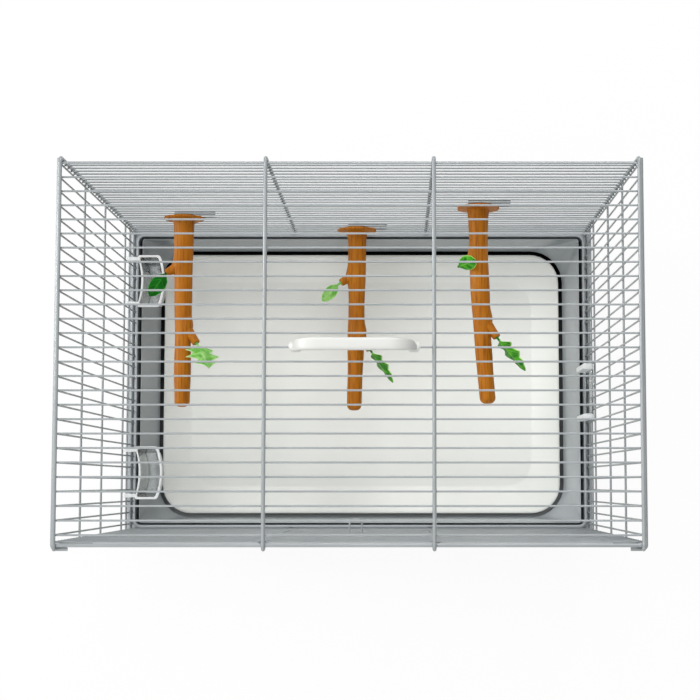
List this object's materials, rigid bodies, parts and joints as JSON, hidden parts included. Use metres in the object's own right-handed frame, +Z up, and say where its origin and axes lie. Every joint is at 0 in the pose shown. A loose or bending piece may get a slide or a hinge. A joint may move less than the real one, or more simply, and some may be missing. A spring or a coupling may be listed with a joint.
{
  "type": "bird cage",
  "caption": "Box-shaped wire bird cage on a grey plastic tub, with a litter tray, branch perches with leaves, clear cups, a front door and a carrying handle.",
  "frame": {"origin": "middle of the base tub's underside", "axes": "+X along the long side to the right, +Y from the door to the back wall, +Z up"},
  "size_m": [0.5368, 0.3634, 0.5055],
  "materials": {
    "coated_wire": "satin grey coating",
    "base_grey": "gloss",
    "tray_white": "satin",
    "handle_white": "satin",
    "branch_brown": "moulded bark",
    "leaf_green": "moulded",
    "nut_black": "moulded",
    "clear_plastic": "clear gloss"
  },
  "bodies": {
    "base": {"base_tub": "base_grey"},
    "tray": {"litter_tray": "tray_white"},
    "wire_cage": {"roof_and_back_rods": "coated_wire", "roof_wires": "coated_wire", "back_wires": "coated_wire", "front_rods": "coated_wire", "front_wires": "coated_wire", "left_side_rods": "coated_wire", "left_side_wires": "coated_wire", "right_side_rods": "coated_wire", "right_side_wires": "coated_wire"},
    "door": {"door_frame": "coated_wire", "door_wires": "coated_wire"},
    "latch": {"door_latch": "coated_wire"},
    "carry_handle": {"handle": "handle_white"},
    "left_branch": {"left_perch": "branch_brown", "left_plain_leaf": "leaf_green", "left_lobed_leaf": "leaf_green"},
    "left_nut": {"left_perch_nut": "nut_black"},
    "middle_branch": {"middle_perch": "branch_brown", "middle_plain_leaf": "leaf_green", "middle_lobed_leaf": "leaf_green"},
    "middle_nut": {"middle_perch_nut": "nut_black"},
    "right_branch": {"right_perch": "branch_brown", "right_plain_leaf": "leaf_green", "right_lobed_leaf": "leaf_green"},
    "right_nut": {"right_perch_nut": "nut_black"},
    "rear_feeder": {"back_cup": "clear_plastic"},
    "front_feeder": {"front_cup": "clear_plastic"},
    "side_guard": {"guard_plate": "clear_plastic"}
  },
  "joints": [
    {"name": "cage_lift", "type": "slide", "parent": "base", "child": "wire_cage", "axis": [0, 0, 1], "range_m": [0, 0.1]},
    {"name": "tray_lift", "type": "slide", "parent": "base", "child": "tray", "axis": [0, 0, 1], "range_m": [0, 0.03]},
    {"name": "door_swing", "type": "hinge", "parent": "wire_cage", "child": "door", "pos_m": [0, -0.17325, 0.1087], "axis": [1, 0, 0], "range_deg": [0, 120]},
    {"name": "latch_turn", "type": "hinge", "parent": "door", "child": "latch", "pos_m": [0, -0.17325, 0.2367], "axis": [1, 0, 0], "range_deg": [0, 25]},
    {"name": "handle_fold", "type": "hinge", "parent": "wire_cage", "child": "carry_handle", "pos_m": [0, 0.002, 0.46755], "axis": [1, 0, 0], "range_deg": [-55, 55]},
    {"name": "left_perch_twist", "type": "hinge", "parent": "wire_cage", "child": "left_branch", "pos_m": [-0.18902, 0.1693, 0.1855], "axis": [0, 1, 0], "range_deg": [-90, 90]},
    {"name": "left_nut_turn", "type": "hinge", "parent": "left_branch", "child": "left_nut", "pos_m": [-0.18902, 0.1717, 0.1855], "axis": [0, 1, 0], "continuous": true},
    {"name": "middle_perch_twist", "type": "hinge", "parent": "wire_cage", "child": "middle_branch", "pos_m": [-0.003, 0.1693, 0.1087], "axis": [0, 1, 0], "range_deg": [-90, 90]},
    {"name": "middle_nut_turn", "type": "hinge", "parent": "middle_branch", "child": "middle_nut", "pos_m": [-0.003, 0.1717, 0.1087], "axis": [0, 1, 0], "continuous": true},
    {"name": "right_perch_twist", "type": "hinge", "parent": "wire_cage", "child": "right_branch", "pos_m": [0.12698, 0.1693, 0.2495], "axis": [0, 1, 0], "range_deg": [-90, 90]},
    {"name": "right_nut_turn", "type": "hinge", "parent": "right_branch", "child": "right_nut", "pos_m": [0.12698, 0.1717, 0.2495], "axis": [0, 1, 0], "continuous": true},
    {"name": "back_cup_lift", "type": "slide", "parent": "wire_cage", "child": "rear_feeder", "axis": [0, 0, 1], "range_m": [0, 0.015]},
    {"name": "front_cup_lift", "type": "slide", "parent": "wire_cage", "child": "front_feeder", "axis": [0, 0, 1], "range_m": [0, 0.015]},
    {"name": "guard_lift", "type": "slide", "parent": "wire_cage", "child": "side_guard", "axis": [0, 0, 1], "range_m": [0, 0.015]}
  ]
}
